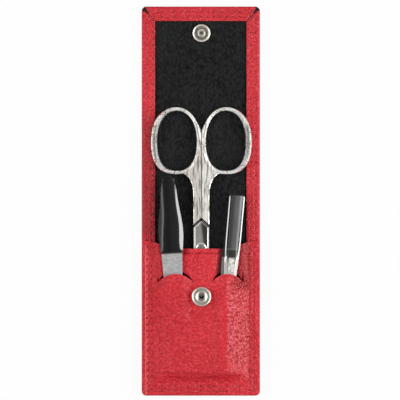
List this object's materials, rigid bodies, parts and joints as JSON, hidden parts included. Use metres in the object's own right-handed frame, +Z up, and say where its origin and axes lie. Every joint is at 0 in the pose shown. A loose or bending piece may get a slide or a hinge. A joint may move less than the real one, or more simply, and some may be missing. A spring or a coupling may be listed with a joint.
{
  "type": "manicure set case",
  "caption": "Open leather manicure case with a press-fastened flap, holding nail scissors, a nail file and tweezers in a slit pocket.",
  "frame": {"origin": "middle of the open case's underside, on the table", "axes": "+X to the right, +Y from the pocket to the flap along the case, +Z up from the table"},
  "size_m": [0.0556, 0.183, 0.0096],
  "materials": {
    "red_leather": "pebble grain, satin",
    "black_lining": "fine grain, matt",
    "board": "paper board",
    "snap_nickel": "bright nickel",
    "spring_steel": "drawn wire",
    "scissors_nickel": "streaked nickel",
    "tweezers_nickel": "mirror polish",
    "file_nickel": "fine file cut",
    "black_plastic": "semi gloss"
  },
  "bodies": {
    "root": {"back_leather": "red_leather", "back_board": "board", "back_lining": "black_lining", "front_panel": "red_leather", "pocket_snap_socket": "snap_nickel", "socket_spring": "spring_steel", "pocket_snap_eyelet": "snap_nickel", "fold_leather": "red_leather", "fold_lining": "black_lining"},
    "flap": {"flap_leather": "red_leather", "flap_board": "board", "flap_lining": "black_lining", "flap_snap_cap": "snap_nickel", "flap_snap_stud": "snap_nickel"},
    "scissors": {"scissors_screw": "scissors_nickel"},
    "scissors_left": {"scissors_left_half": "scissors_nickel"},
    "scissors_right": {"scissors_right_half": "scissors_nickel"},
    "file": {"file_handle": "black_plastic", "file_blade": "file_nickel"},
    "tweezers": {"tweezers_rear_arm": "tweezers_nickel"},
    "tweezers_front": {"tweezers_front_arm": "tweezers_nickel"}
  },
  "joints": [
    {"name": "flap_fold", "type": "hinge", "parent": "root", "child": "flap", "pos_m": [0, 0.01715, 0.00647], "axis": [1, 0, 0], "range_deg": [0, 180], "deforming": ["fold_leather", "fold_lining"]},
    {"name": "scissors_slide", "type": "slide", "parent": "root", "child": "scissors", "axis": [0, -1, 0], "range_m": [0, 0.031]},
    {"name": "scissors_left_turn", "type": "hinge", "parent": "scissors", "child": "scissors_left", "pos_m": [0.00025, -0.0218, 0.0044], "axis": [0, 0, -1], "range_deg": [-20, 0]},
    {"name": "scissors_right_turn", "type": "hinge", "parent": "scissors", "child": "scissors_right", "pos_m": [0.00025, -0.0218, 0.0044], "axis": [0, 0, 1], "range_deg": [-20, 0]},
    {"name": "file_slide", "type": "slide", "parent": "root", "child": "file", "axis": [0.0523, -0.9986, 0], "range_m": [-0.044, 0]},
    {"name": "tweezers_slide", "type": "slide", "parent": "root", "child": "tweezers", "axis": [-0.0889, -0.996, 0], "range_m": [-0.042, 0]},
    {"name": "tweezers_squeeze", "type": "hinge", "parent": "tweezers", "child": "tweezers_front", "pos_m": [0.01639, -0.00537, 0.00695], "axis": [0.996, -0.0889, 0], "range_deg": [0, 1], "stiffness_Nm_per_rad": 1}
  ],
  "couplings": [
    {"joint": "scissors_slide", "follows": "flap_fold", "m_per_rad": 0.00986},
    {"joint": "scissors_right_turn", "follows": "scissors_left_turn", "ratio": 1}
  ]
}
